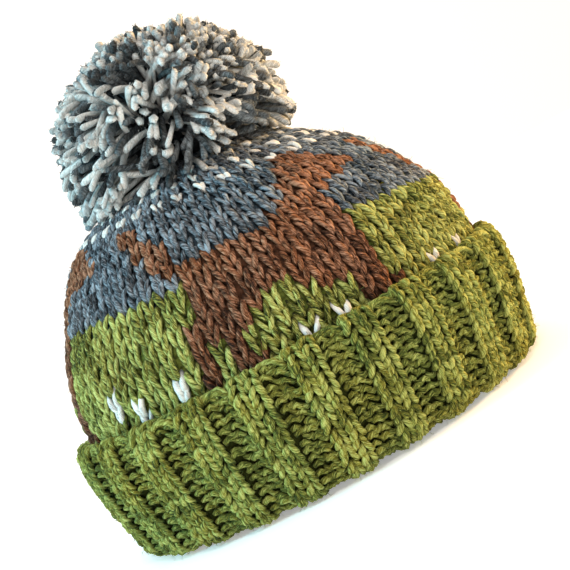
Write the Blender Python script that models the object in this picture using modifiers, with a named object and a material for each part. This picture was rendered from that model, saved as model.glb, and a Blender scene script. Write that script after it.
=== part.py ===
"""Bobble hat: a knitted dome, a turned-up ribbed cuff and a cut-yarn pompom.

Metres, +Z up. The hat stands on its cuff, with its origin at the middle of the ring that it rests on.
X runs along the long way of the head opening, and -Y is the side that is seen.
"""

import math
import random

import bmesh
import bpy
from mathutils import Vector

MM = 0.001

# Head opening: an oval, longer in X than in Y by this much on each half
OVAL_DIFFERENCE = 15.5 * MM

# Crown: a knitted wall drawn together under the pompom
CROWN_WALL = 5.0 * MM
CROWN_SIDES = 42

# One row for each section of the crown, from its hidden lower edge to the gathered top.
# Heights, half widths (X), half depths (Y) and sideways leans in millimetres.
CROWN_SECTIONS = (
    {"height": 7.0, "half_width": 93.0, "half_depth": 77.5, "lean": 0.0},
    {"height": 20.0, "half_width": 96.9, "half_depth": 81.4, "lean": 0.0},
    {"height": 35.0, "half_width": 98.9, "half_depth": 83.4, "lean": 0.0},
    {"height": 50.0, "half_width": 99.6, "half_depth": 84.1, "lean": 0.0},
    {"height": 66.0, "half_width": 99.2, "half_depth": 83.8, "lean": 0.2},
    {"height": 78.0, "half_width": 97.6, "half_depth": 82.3, "lean": 0.3},
    {"height": 89.0, "half_width": 94.2, "half_depth": 79.5, "lean": 0.4},
    {"height": 99.5, "half_width": 89.0, "half_depth": 75.4, "lean": 0.0},
    {"height": 107.5, "half_width": 84.2, "half_depth": 71.4, "lean": -0.6},
    {"height": 115.5, "half_width": 79.0, "half_depth": 66.9, "lean": -1.4},
    {"height": 123.0, "half_width": 72.8, "half_depth": 61.8, "lean": -2.2},
    {"height": 130.0, "half_width": 65.2, "half_depth": 55.6, "lean": -3.0},
    {"height": 136.2, "half_width": 56.4, "half_depth": 48.4, "lean": -2.8},
    {"height": 141.4, "half_width": 46.2, "half_depth": 40.0, "lean": -2.0},
    {"height": 145.6, "half_width": 33.6, "half_depth": 29.6, "lean": -1.2},
    {"height": 148.3, "half_width": 18.6, "half_depth": 16.8, "lean": -0.5},
)
CROWN_TOP = 149.3 * MM

# Cuff: two knit columns and two purl columns to a rib, folded up over the crown's lower edge
RIBS = 25
RIB_DEPTH = 3.4 * MM
RIB_PHASE = 0.12

# How far round one rib each column of points stands, and how much of the rib's depth it sinks
RIB_POINTS = (
    {"across": -0.28, "sunk": 0.12},
    {"across": 0.00, "sunk": 0.0},
    {"across": 0.28, "sunk": 0.12},
    {"across": 0.40, "sunk": 1.0},
    {"across": 0.60, "sunk": 1.0},
)

# One row for each ring of the cuff's section, from the flat rest up the outside and down the inside.
# Heights and half widths in millimetres; rib is the share of the rib's depth that shows there.
CUFF_SECTION = (
    {"height": 0.0, "half_width": 90.0, "rib": 0.0},
    {"height": 0.0, "half_width": 97.4, "rib": 0.35},
    {"height": 3.2, "half_width": 100.6, "rib": 0.8},
    {"height": 12.5, "half_width": 103.4, "rib": 1.0},
    {"height": 27.0, "half_width": 107.0, "rib": 1.0},
    {"height": 40.0, "half_width": 108.9, "rib": 1.0},
    {"height": 51.0, "half_width": 108.9, "rib": 1.0},
    {"height": 56.6, "half_width": 107.6, "rib": 0.8},
    {"height": 58.4, "half_width": 104.4, "rib": 0.3},
    {"height": 57.2, "half_width": 100.9, "rib": 0.0},
    {"height": 50.0, "half_width": 100.1, "rib": 0.0},
    {"height": 35.0, "half_width": 99.4, "rib": 0.0},
    {"height": 20.0, "half_width": 97.4, "rib": 0.0},
    {"height": 7.6, "half_width": 93.7, "rib": 0.0},
    {"height": 6.4, "half_width": 92.9, "rib": 0.0},
    {"height": 7.8, "half_width": 87.6, "rib": 0.0},
    {"height": 3.4, "half_width": 87.2, "rib": 0.0},
)

# Pompom: cut yarn tied in a low ball that is pressed flat where it sits on the crown
POMPOM_HALF_WIDTH = 56.0 * MM
POMPOM_HALF_HEIGHT = 51.5 * MM
POMPOM_FULLNESS = 2.5
POMPOM_CENTRE = Vector((2.5 * MM, 0.0, 160.5 * MM))
POMPOM_SEAT_GAP = 0.8 * MM
POMPOM_CORE = 0.70
LOCKS_ALONG_EDGE = 7
LOCK_ROOT_INSET = 0.5 * MM
LOCK_ROOT_CLEARANCE = 1.5 * MM
LOCK_TIP_SCALE = 0.80
LOCK_LENGTH_SPREAD = 3.0 * MM
LOCK_SWAY = 0.018
POMPOM_SEED = 11

SMOOTH_ANGLE = math.radians(50.0)


def clear_scene():
    """Remove whatever objects the file opened with."""
    for old in list(bpy.data.objects):
        bpy.data.objects.remove(old, do_unlink=True)


def make_collection(name):
    collection = bpy.data.collections.new(name)
    bpy.context.scene.collection.children.link(collection)
    return collection


def make_material(name, colour, roughness):
    """A matt wool finish in one linear colour."""
    material = bpy.data.materials.new(name)
    material.use_nodes = True
    shader = material.node_tree.nodes["Principled BSDF"]
    shader.inputs["Base Color"].default_value = (*colour, 1.0)
    shader.inputs["Roughness"].default_value = roughness
    shader.inputs["Metallic"].default_value = 0.0
    return material


def add_object(name, bm, collection, material):
    """Turn a bmesh into a named object with one material."""
    mesh = bpy.data.meshes.new(name)
    bm.to_mesh(mesh)
    bm.free()
    mesh.materials.append(material)
    thing = bpy.data.objects.new(name, mesh)
    collection.objects.link(thing)
    mesh.shade_smooth()
    mesh.set_sharp_from_angle(angle=SMOOTH_ANGLE)
    return thing


def even_angle(share, half_width, half_depth):
    """The oval's angle, from the front, after this share of its whole girth."""
    steps = 720
    lengths = [0.0]
    for step in range(steps):
        angle = (step + 0.5) / steps * math.tau
        speed = math.hypot(half_width * math.cos(angle), half_depth * math.sin(angle))
        lengths.append(lengths[-1] + speed)
    wanted = (share % 1.0) * lengths[-1]
    step = next(i for i in range(steps) if lengths[i + 1] >= wanted)
    part = (wanted - lengths[step]) / (lengths[step + 1] - lengths[step])
    return (step + part) / steps * math.tau


def oval_point(angle, half_width, half_depth, height, lean=0.0):
    """A point of an oval ring; angle 0 is the front, at -Y."""
    return Vector((lean + half_width * math.sin(angle), -half_depth * math.cos(angle), height))


def lay_ring(ring, points):
    for vertex, point in zip(ring, points):
        vertex.co = point


def next_ring(bm, ring):
    """Extrude a closed ring of vertices and return the new ring in the same order."""
    edges = [bm.edges.get((ring[i], ring[i - 1])) for i in range(len(ring))]
    made = bmesh.ops.extrude_edge_only(bm, edges=edges)["geom"]
    new = {part for part in made if isinstance(part, bmesh.types.BMVert)}
    return [next(e.other_vert(v) for e in v.link_edges if e.other_vert(v) in new) for v in ring]


def loft_rings(bm, rings):
    """Skin a list of rings of points, each with as many points, and return the first and last."""
    first = bmesh.ops.create_circle(bm, cap_ends=False, segments=len(rings[0]), radius=1.0)["verts"]
    lay_ring(first, rings[0])
    last = first
    for points in rings[1:]:
        last = next_ring(bm, last)
        lay_ring(last, points)
    return first, last


def crown_ring(section, angles):
    return [
        oval_point(
            angle,
            section["half_width"] * MM,
            section["half_depth"] * MM,
            section["height"] * MM,
            section["lean"] * MM,
        )
        for angle in angles
    ]


def crown_height(x, y):
    """How high the crown's outer face stands over a point of the floor inside it."""
    outside = None
    for upper, lower in zip(reversed(CROWN_SECTIONS[:-1]), reversed(CROWN_SECTIONS[1:])):
        reach = []
        for section in (lower, upper):
            across = (x / MM - section["lean"]) / section["half_width"]
            along = y / MM / section["half_depth"]
            reach.append(math.hypot(across, along))
        if reach[0] <= 1.0 and outside is None:
            return CROWN_TOP - (CROWN_TOP - lower["height"] * MM) * reach[0] ** 2
        if reach[1] <= 1.0:
            part = (reach[0] - 1.0) / (reach[0] - reach[1])
            return (lower["height"] + (upper["height"] - lower["height"]) * part) * MM
        outside = reach
    return 0.0


def make_crown(collection, wool):
    """The dome, an open skin given its wall by Solidify."""
    base = CROWN_SECTIONS[3]
    angles = [
        even_angle(i / CROWN_SIDES, base["half_width"], base["half_depth"])
        for i in range(CROWN_SIDES)
    ]
    bm = bmesh.new()
    _, last = loft_rings(bm, [crown_ring(section, angles) for section in CROWN_SECTIONS])
    lid = bmesh.ops.contextual_create(bm, geom=last)["faces"]
    centre = bmesh.ops.poke(bm, faces=lid)["verts"][0]
    centre.co = Vector((0.0, 0.0, CROWN_TOP))
    bmesh.ops.recalc_face_normals(bm, faces=bm.faces)
    crown = add_object("crown", bm, collection, wool)
    wall = crown.modifiers.new("wall", "SOLIDIFY")
    wall.thickness = CROWN_WALL
    wall.offset = -1.0
    wall.use_even_offset = True
    return crown


def cuff_ring(section, columns):
    """One ring of the cuff, ribbed as far as its row says."""
    points = []
    for column in columns:
        sunk = column["sunk"] * section["rib"] * RIB_DEPTH
        half_width = section["half_width"] * MM - sunk
        half_depth = half_width - OVAL_DIFFERENCE
        points.append(oval_point(column["angle"], half_width, half_depth, section["height"] * MM))
    return points


def make_cuff(collection, wool):
    """The turned-up band, a closed section carried round the oval."""
    widest = max(section["half_width"] for section in CUFF_SECTION)
    columns = []
    for rib in range(RIBS):
        for point in RIB_POINTS:
            share = (rib + RIB_PHASE + point["across"]) / RIBS
            angle = even_angle(share, widest, widest - OVAL_DIFFERENCE / MM)
            columns.append({"angle": angle, "sunk": point["sunk"]})
    bm = bmesh.new()
    first, last = loft_rings(bm, [cuff_ring(section, columns) for section in CUFF_SECTION])
    seam = [edge for ring in (first, last) for v in ring for edge in v.link_edges if edge.is_boundary]
    bmesh.ops.bridge_loops(bm, edges=list(dict.fromkeys(seam)))
    bmesh.ops.recalc_face_normals(bm, faces=bm.faces)
    return add_object("cuff", bm, collection, wool)


def pompom_reach(rise):
    """How far the pompom's outer form lies from its middle, at this angle above the level."""
    level = abs(math.cos(rise)) / POMPOM_HALF_WIDTH
    upright = abs(math.sin(rise)) / POMPOM_HALF_HEIGHT
    total = level**POMPOM_FULLNESS + upright**POMPOM_FULLNESS
    return total ** (-1.0 / POMPOM_FULLNESS)


def rise_of(direction):
    return math.asin(max(-1.0, min(1.0, direction.z)))


def pompom_seat(x, y):
    """The lowest that the pompom may lie over this point of the crown."""
    return crown_height(x, y) + POMPOM_SEAT_GAP


def pompom_core(bm):
    """A ball of near-equal squares, pressed flat where it lies on the crown."""
    bmesh.ops.create_cube(bm, size=2.0)
    bmesh.ops.subdivide_edges(bm, edges=bm.edges, cuts=LOCKS_ALONG_EDGE - 1, use_grid_fill=True)
    for vertex in bm.verts:
        bent = Vector([math.tan(value * math.pi / 4.0) for value in vertex.co]).normalized()
        reach = pompom_reach(rise_of(bent)) * POMPOM_CORE
        vertex.co = bent * reach + POMPOM_CENTRE
        vertex.co.z = max(vertex.co.z, pompom_seat(vertex.co.x, vertex.co.y))


def is_lock_root(face):
    """Whether a square of the ball stands clear of the crown, so that a lock can grow from it."""
    for vertex in face.verts:
        if vertex.co.z < pompom_seat(vertex.co.x, vertex.co.y) + LOCK_ROOT_CLEARANCE:
            return False
    return True


def lock_tip(direction, chance):
    """Where the middle of a lock's cut end lies."""
    rise = rise_of(direction) + chance.uniform(-LOCK_SWAY, LOCK_SWAY)
    turn = math.atan2(direction.y, direction.x) + chance.uniform(-LOCK_SWAY, LOCK_SWAY)
    reach = pompom_reach(rise) + chance.uniform(-LOCK_LENGTH_SPREAD, LOCK_LENGTH_SPREAD)
    flat = reach * math.cos(rise)
    spot = Vector((flat * math.cos(turn), flat * math.sin(turn), reach * math.sin(rise)))
    return spot + POMPOM_CENTRE


def make_pompom(collection, yarn):
    """Locks of cut yarn drawn out of the ball, all one body."""
    chance = random.Random(POMPOM_SEED)
    bm = bmesh.new()
    pompom_core(bm)
    roots = [face for face in bm.faces if is_lock_root(face)]
    bmesh.ops.inset_individual(bm, faces=roots, thickness=LOCK_ROOT_INSET, use_even_offset=True)
    drawn = bmesh.ops.extrude_discrete_faces(bm, faces=roots)["faces"]
    for end in drawn:
        middle = end.calc_center_median()
        direction = (middle - POMPOM_CENTRE).normalized()
        tip = lock_tip(direction, chance)
        outward = (tip - POMPOM_CENTRE).normalized()
        turn = direction.rotation_difference(outward)
        spread = (tip - POMPOM_CENTRE).length / (middle - POMPOM_CENTRE).length * LOCK_TIP_SCALE
        for vertex in end.verts:
            vertex.co = tip + turn @ (vertex.co - middle) * spread
    bmesh.ops.recalc_face_normals(bm, faces=bm.faces)
    return add_object("pompom", bm, collection, yarn)


def main():
    clear_scene()
    hat = make_collection("bobble_hat")
    crown_wool = make_material("crown_wool", (0.085, 0.125, 0.085), 0.95)
    cuff_wool = make_material("cuff_wool", (0.155, 0.21, 0.035), 0.95)
    pompom_yarn = make_material("pompom_yarn", (0.40, 0.42, 0.42), 0.95)
    make_crown(hat, crown_wool)
    make_cuff(hat, cuff_wool)
    make_pompom(hat, pompom_yarn)


main()
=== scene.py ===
"""Bobble hat, dressed: every stitch of the crown and cuff and every strand of the pompom is yarn.

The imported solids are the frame. The crown, cuff and pompom are replaced by yarn laid on the same
surfaces. Metres, +Z up. X runs along the long way of the head opening, and -Y is the side seen.
"""

import logging
import math
from dataclasses import dataclass, field
from enum import Enum

import bmesh
import bpy
import numpy as np
from mathutils import Matrix, Vector

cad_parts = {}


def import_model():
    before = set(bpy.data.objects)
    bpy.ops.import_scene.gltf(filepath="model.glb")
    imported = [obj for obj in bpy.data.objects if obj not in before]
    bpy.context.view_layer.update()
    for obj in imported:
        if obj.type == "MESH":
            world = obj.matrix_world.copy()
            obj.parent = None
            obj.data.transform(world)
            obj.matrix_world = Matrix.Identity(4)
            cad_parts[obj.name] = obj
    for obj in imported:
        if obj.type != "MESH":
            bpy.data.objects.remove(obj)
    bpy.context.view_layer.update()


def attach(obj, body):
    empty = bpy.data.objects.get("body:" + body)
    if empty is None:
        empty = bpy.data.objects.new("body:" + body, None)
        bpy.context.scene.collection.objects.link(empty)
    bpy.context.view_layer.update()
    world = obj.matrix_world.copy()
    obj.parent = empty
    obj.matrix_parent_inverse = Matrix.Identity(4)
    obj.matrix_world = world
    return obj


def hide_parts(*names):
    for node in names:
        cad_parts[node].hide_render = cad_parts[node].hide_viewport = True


MM = 0.001
BODY = "root"
SEED = 27
OVAL_STEPS = 1440
GOLDEN_SHARE = 0.61803

Colour = tuple[float, float, float, float]
Table = tuple[tuple[float, ...], ...]
Array = np.ndarray
Mesh = bpy.types.Mesh
Material = bpy.types.Material
Socket = bpy.types.NodeSocket
Value = Socket | float | Colour

log = logging.getLogger("bobble_hat")


class Yarn(Enum):
    """The balls of wool that the hat is knitted from."""

    GRASS = "grass_green"
    SKY = "slate_blue"
    COAT = "chestnut"
    FLOWER = "white"
    CUFF = "moss_green"
    POM_PALE = "pompom_off_white"
    POM_DARK = "pompom_charcoal"
    POM_GREY = "pompom_grey"


def linear(hex_colour: str) -> Colour:
    """Turn an sRGB hex colour into a linear one.

    Args:
        hex_colour: six hex digits, such as "A4B858".

    Returns:
        Red, green, blue and an alpha of 1.
    """
    channels = []
    for start in (0, 2, 4):
        value = int(hex_colour[start : start + 2], 16) / 255.0
        channels.append(value / 12.92 if value <= 0.04045 else ((value + 0.055) / 1.055) ** 2.4)
    return (channels[0], channels[1], channels[2], 1.0)


def unit(vectors: Array) -> Array:
    """Vectors along the last axis, each made one long."""
    length = np.linalg.norm(vectors, axis=-1, keepdims=True)
    return vectors / np.maximum(length, 1e-12)


class SmoothTable:
    """A smooth curve through the rows of a short table."""

    def __init__(self, knots: Array, rows: Array) -> None:
        """Keep the rows and the slope at each knot."""
        self.knots = np.asarray(knots, float)
        self.rows = np.asarray(rows, float)
        self.slopes = np.gradient(self.rows, self.knots, axis=0)

    def at(self, where: Array) -> tuple[Array, Array]:
        """Read the curve.

        Args:
            where: places along the knots, of any shape.

        Returns:
            The values there and their slopes, each with one more axis for the table's columns.
        """
        place = np.clip(where, self.knots[0], self.knots[-1])
        index = np.clip(np.searchsorted(self.knots, place) - 1, 0, len(self.knots) - 2)
        span = (self.knots[index + 1] - self.knots[index])[..., None]
        t = (place - self.knots[index])[..., None] / span
        low, high = self.rows[index], self.rows[index + 1]
        low_slope, high_slope = self.slopes[index] * span, self.slopes[index + 1] * span
        value = (
            (2 * t**3 - 3 * t**2 + 1) * low
            + (t**3 - 2 * t**2 + t) * low_slope
            + (3 * t**2 - 2 * t**3) * high
            + (t**3 - t**2) * high_slope
        )
        slope = (
            (6 * t**2 - 6 * t) * low
            + (3 * t**2 - 4 * t + 1) * low_slope
            + (6 * t - 6 * t**2) * high
            + (3 * t**2 - 2 * t) * high_slope
        ) / span
        beyond = (where - place)[..., None]
        return value + slope * beyond, slope


def shape_of(rows: Table, steps: Array) -> Array:
    """The smooth shape that evenly spaced rows give at these steps from 0 to 1."""
    return SmoothTable(np.linspace(0.0, 1.0, len(rows)), np.array(rows)).at(steps)[0]


def level_ring(angle: Array, half_width: float, half_depth: float, height: float) -> Array:
    """The points of a level oval at these angles, in metres."""
    level = np.full_like(angle, height)
    return np.stack((half_width * np.sin(angle), -half_depth * np.cos(angle), level), -1)


@dataclass(frozen=True)
class Section:
    """One level ring of a knitted surface, in millimetres."""

    height: float
    half_width: float
    half_depth: float
    lean: float = 0.0


class OvalSkin:
    """A surface that runs round the hat through a table of level oval sections."""

    def __init__(self, sections: tuple[Section, ...], start: int, widest: int) -> None:
        """Measure the table.

        Args:
            sections: the rings, in order along the surface.
            start: the ring where the distance along the surface is 0.
            widest: the ring that shares out the columns round the oval.
        """
        rows = np.array([[s.height, s.half_width, s.half_depth, s.lean] for s in sections]) * MM
        steps = np.hypot(np.diff(rows[:, 0]), np.diff(rows[:, 1]))
        run = np.concatenate(([0.0], np.cumsum(steps)))
        self.table = SmoothTable(run - run[start], rows)
        self.angles = np.linspace(0.0, math.tau, OVAL_STEPS + 1)
        middle = (self.angles[1:] + self.angles[:-1]) / 2.0
        self.half_width, self.half_depth = rows[widest, 1], rows[widest, 2]
        speed = np.hypot(self.half_width * np.cos(middle), self.half_depth * np.sin(middle))
        girth = np.concatenate(([0.0], np.cumsum(speed)))
        self.shares = girth / girth[-1]

    def angle(self, share: Array) -> Array:
        """The oval's angle after this share of its girth, from the front towards +X."""
        turns = np.floor(share)
        return np.interp(share - turns, self.shares, self.angles) + turns * math.tau

    def share_at(self, points: Array) -> Array:
        """How far round the hat these points stand, from 0 to 1."""
        angle = np.arctan2(points[..., 0] / self.half_width, -points[..., 1] / self.half_depth)
        return np.interp(angle % math.tau, self.angles, self.shares)

    def along_at(self, height: Array) -> Array:
        """How far along the surface these heights are reached, where it only rises."""
        return np.interp(height, self.table.rows[:, 0], self.table.knots)

    def place(self, share: Array, along: Array, lift: Array) -> tuple[Array, Array]:
        """Find points on or over the surface.

        Args:
            share: how far round, from 0 to 1.
            along: how far along the surface from its start, in metres.
            lift: how far outside it, in metres.

        Returns:
            The points and the outward normals.
        """
        angle = self.angle(share)
        value, slope = self.table.at(along)
        height, half_width, half_depth, lean = np.moveaxis(value, -1, 0)
        d_height, d_width, d_depth, d_lean = np.moveaxis(slope, -1, 0)
        sine, cosine = np.sin(angle), np.cos(angle)
        point = np.stack((lean + half_width * sine, -half_depth * cosine, height), -1)
        across = np.stack((half_width * cosine, half_depth * sine, np.zeros_like(sine)), -1)
        upward = np.stack((d_lean + d_width * sine, -d_depth * cosine, d_height), -1)
        normal = unit(np.cross(across, upward))
        return point + normal * np.asarray(lift)[..., None], normal


def link_object(name: str, data: bpy.types.ID) -> bpy.types.Object:
    """Put a new object with this data in the scene."""
    thing = bpy.data.objects.new(name, data)
    bpy.context.scene.collection.objects.link(thing)
    return thing


def add_piece(mesh: Mesh, material: Material, stands_for: str) -> None:
    """Link a finished mesh as a piece of the hat, under the mesh's own name.

    Args:
        mesh: the piece's mesh, in the hat's frame.
        material: its finish, if the mesh has none yet.
        stands_for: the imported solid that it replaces.
    """
    if not mesh.materials:
        mesh.materials.append(material)
    thing = link_object(mesh.name, mesh)
    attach(thing, BODY)
    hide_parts(stands_for)
    mesh.calc_loop_triangles()
    log.info("%s: %d triangles", mesh.name, len(mesh.loop_triangles))


def smooth_mesh(bm: bmesh.types.BMesh, name: str, materials: list[Material]) -> Mesh:
    """Turn a finished bmesh into a smooth mesh with its materials.

    Args:
        bm: the bmesh, which is freed.
        name: the mesh's name.
        materials: its materials, in the order of their numbers.

    Returns:
        The mesh.
    """
    mesh = bpy.data.meshes.new(name)
    bm.to_mesh(mesh)
    bm.free()
    mesh.shade_smooth()
    for material in materials:
        mesh.materials.append(material)
    return mesh


@dataclass
class Strands:
    """Lengths of yarn along their paths.

    The paths are strands by steps by 3, in metres, and outward is the direction that each step's
    upper side faces. The tone is one number from 0 to 1 for each strand, which its finish reads.
    The shade is how open to the light each step lies, from 0 deep in the fabric to 1 on its face.
    """

    paths: Array
    outward: Array
    half_width: Array
    half_depth: Array
    tone: Array
    shade: Array

    @classmethod
    def joined(cls, groups: list["Strands"]) -> "Strands":
        """Several groups of strands as one."""
        return cls(*(np.concatenate(parts) for parts in zip(*(vars(g).values() for g in groups))))

    def only(self, chosen: Array) -> "Strands":
        """The strands that a mask chooses."""
        return Strands(*(part[chosen] for part in vars(self).values()))


class StrandMaker:
    """A short piece of yarn, modelled once and bent along many paths."""

    # Each strand starts at its own place in a length of yarn this many metres long
    yarn_metres = 4.0

    def __init__(self, sides: int, segments: int) -> None:
        """Model the straight piece: a capped tube, one long, cut into segments."""
        bm = bmesh.new()
        bmesh.ops.create_cone(
            bm, cap_ends=True, segments=sides, radius1=1.0, radius2=1.0, depth=1.0
        )
        lengthwise = [e for e in bm.edges if abs(e.verts[0].co.z - e.verts[1].co.z) > 0.5]
        bmesh.ops.subdivide_edges(bm, edges=lengthwise, cuts=segments - 1)
        bm.verts.index_update()
        points = np.array([v.co for v in bm.verts])
        self.ring = np.rint((points[:, 2] + 0.5) * segments).astype(int)
        self.across = points[:, 0]
        self.upward = points[:, 1]
        self.steps = np.linspace(0.0, 1.0, segments + 1)
        corners, starts, around = [], [], []
        for face in bm.faces:
            starts.append(len(corners))
            turns = [math.atan2(v.co.x, v.co.y) / math.tau + 0.5 for v in face.verts]
            wraps = len(face.verts) == 4 and max(turns) - min(turns) > 0.5
            for vertex, turn in zip(face.verts, turns):
                corners.append(vertex.index)
                around.append(turn + 1.0 if wraps and turn < 0.5 else turn)
        bm.free()
        self.corners = np.array(corners)
        self.starts = np.array(starts)
        self.around = np.array(around)

    def make(self, name: str, strands: Strands) -> Mesh:
        """Bend one strand along each path and join them all in one mesh.

        Args:
            name: the mesh's name.
            strands: where they lie and how thick they are.

        Returns:
            The mesh, with a yarn map: metres along each strand, and turns round it.
        """
        paths, ring = strands.paths, self.ring
        count, size = len(paths), len(ring)
        tangent = unit(np.gradient(paths, axis=1))
        side = unit(np.cross(tangent, strands.outward))
        upper = np.cross(side, tangent)
        points = (
            paths[:, ring]
            + side[:, ring] * (self.across * strands.half_width[:, ring])[..., None]
            + upper[:, ring] * (self.upward * strands.half_depth[:, ring])[..., None]
        )
        number = np.arange(count)[:, None]
        loops = (self.corners[None, :] + number * size).ravel()
        starts = (self.starts[None, :] + number * len(self.corners)).ravel()
        mesh = bpy.data.meshes.new(name)
        mesh.vertices.add(count * size)
        mesh.loops.add(len(loops))
        mesh.polygons.add(len(starts))
        mesh.vertices.foreach_set("co", points.astype(np.float32).ravel())
        mesh.loops.foreach_set("vertex_index", loops.astype(np.int32))
        mesh.polygons.foreach_set("loop_start", starts.astype(np.int32))
        mesh.polygons.foreach_set("use_smooth", np.ones(len(starts), bool))
        mesh.update(calc_edges=True)
        length = np.linalg.norm(np.diff(paths, axis=1), axis=-1).sum(1)[:, None]
        offset = np.modf(number * GOLDEN_SHARE)[0] * self.yarn_metres
        run = self.steps[ring[self.corners]][None, :] * length + offset
        turn = np.broadcast_to(self.around[None, :], run.shape)
        layer = mesh.uv_layers.new(name="yarn")
        layer.data.foreach_set("uv", np.stack((run, turn), -1).astype(np.float32).ravel())
        open_sky = np.broadcast_to(strands.shade, (count, len(self.steps)))[:, ring]
        # The underside of a strand has half the light of its upper side
        shade = open_sky * (0.75 + 0.25 * self.upward[None, :])
        for kind, values in (("tone", np.repeat(strands.tone, size)), ("shade", shade)):
            layer = mesh.attributes.new(kind, "FLOAT", "POINT")
            layer.data.foreach_set("value", values.astype(np.float32).ravel())
        return mesh


@dataclass
class Fuzz:
    """Loose fibres that stand off the yarn, each a fine curved hair."""

    radius_mm: float = 0.085
    length_mm: float = 2.3
    # Hairs grow where the yarn lies at least this open to the light
    least_shade: float = 0.62
    bristle_radii_mm: tuple[float, float] = (0.30, 0.14)
    chance: np.random.Generator = field(default_factory=lambda: np.random.default_rng(SEED + 3))

    def __post_init__(self) -> None:
        """Model the hair that loose fibres are bent from, and the shorter one for cut ends."""
        self.maker = StrandMaker(sides=3, segments=2)
        self.bristle = StrandMaker(sides=3, segments=1)

    def grow(self, name: str, strands: Strands, count: int) -> Mesh:
        """Grow hairs on strands that have been laid.

        Args:
            name: the mesh's name.
            strands: what they grow on.
            count: how many hairs.

        Returns:
            The mesh of all the hairs.
        """
        chance, paths = self.chance, strands.paths
        strand = chance.integers(0, len(paths), count * 3)
        step = chance.integers(1, paths.shape[1] - 1, count * 3)
        keep = np.nonzero(strands.shade[strand, step] > self.least_shade)[0][:count]
        strand, step = strand[keep], step[keep]
        one_each = (len(keep), 1)
        base = paths[strand, step]
        along = unit(paths[strand, step + 1] - paths[strand, step - 1])
        up = strands.outward[strand, step]
        side = unit(np.cross(along, up))
        turn = chance.normal(0.0, 0.75, len(keep))[:, None]
        away = up * np.cos(turn) + side * np.sin(turn)
        lean = away + along * chance.normal(0.0, 0.9, one_each)
        lean = unit(lean + side * chance.normal(0.0, 0.4, one_each))
        length = self.length_mm * MM * chance.uniform(0.45, 1.3, one_each)
        curl = chance.normal(0.0, 0.32, base.shape) * length
        root = base + away * strands.half_width[strand, step][:, None] * 0.85
        middle, tip = root + lean * length * 0.5 + curl, root + lean * length + curl * 0.4
        hairs = np.stack((root, middle, tip), 1)
        hairs[..., 2] = np.maximum(hairs[..., 2], 2.0 * self.radius_mm * MM)
        thick = self.radius_mm * MM * np.array([1.0, 0.9, 0.45])[None, :] * np.ones(one_each)
        facing = np.broadcast_to(unit(np.cross(lean, curl))[:, None], hairs.shape)
        tone = 0.55 + 0.45 * chance.random(len(keep))
        return self.maker.make(name, Strands(hairs, facing, thick, thick, tone, np.ones((1, 3))))

    def fray(self, name: str, strands: Strands, each: int) -> Mesh:
        """Open the cut ends of strands into bristles.

        Args:
            name: the mesh's name.
            strands: the strands, from root to cut end.
            each: how many bristles to an end.

        Returns:
            The mesh of all the bristles.
        """
        chance, paths = self.chance, strands.paths
        end = np.repeat(paths[:, -2], each, axis=0)
        ahead = np.repeat(unit(paths[:, -1] - paths[:, -3]), each, axis=0)
        wide = np.repeat(strands.half_width.max(axis=1), each)[:, None]
        side = unit(np.cross(ahead, chance.normal(0.0, 1.0, end.shape)))
        root = end + side * wide * 0.55
        length = chance.uniform(0.6, 1.9, wide.shape) * MM
        tip = root + unit(ahead + side * chance.uniform(0.1, 0.9, wide.shape)) * length
        hairs = np.stack((root, tip), 1)
        thick = np.array(self.bristle_radii_mm)[None, :] * MM * chance.uniform(0.7, 1.2, wide.shape)
        facing = np.broadcast_to(side[:, None], hairs.shape)
        tone = 0.5 + 0.5 * chance.random(len(end))
        return self.bristle.make(name, Strands(hairs, facing, thick, thick, tone, np.ones((1, 2))))


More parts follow.
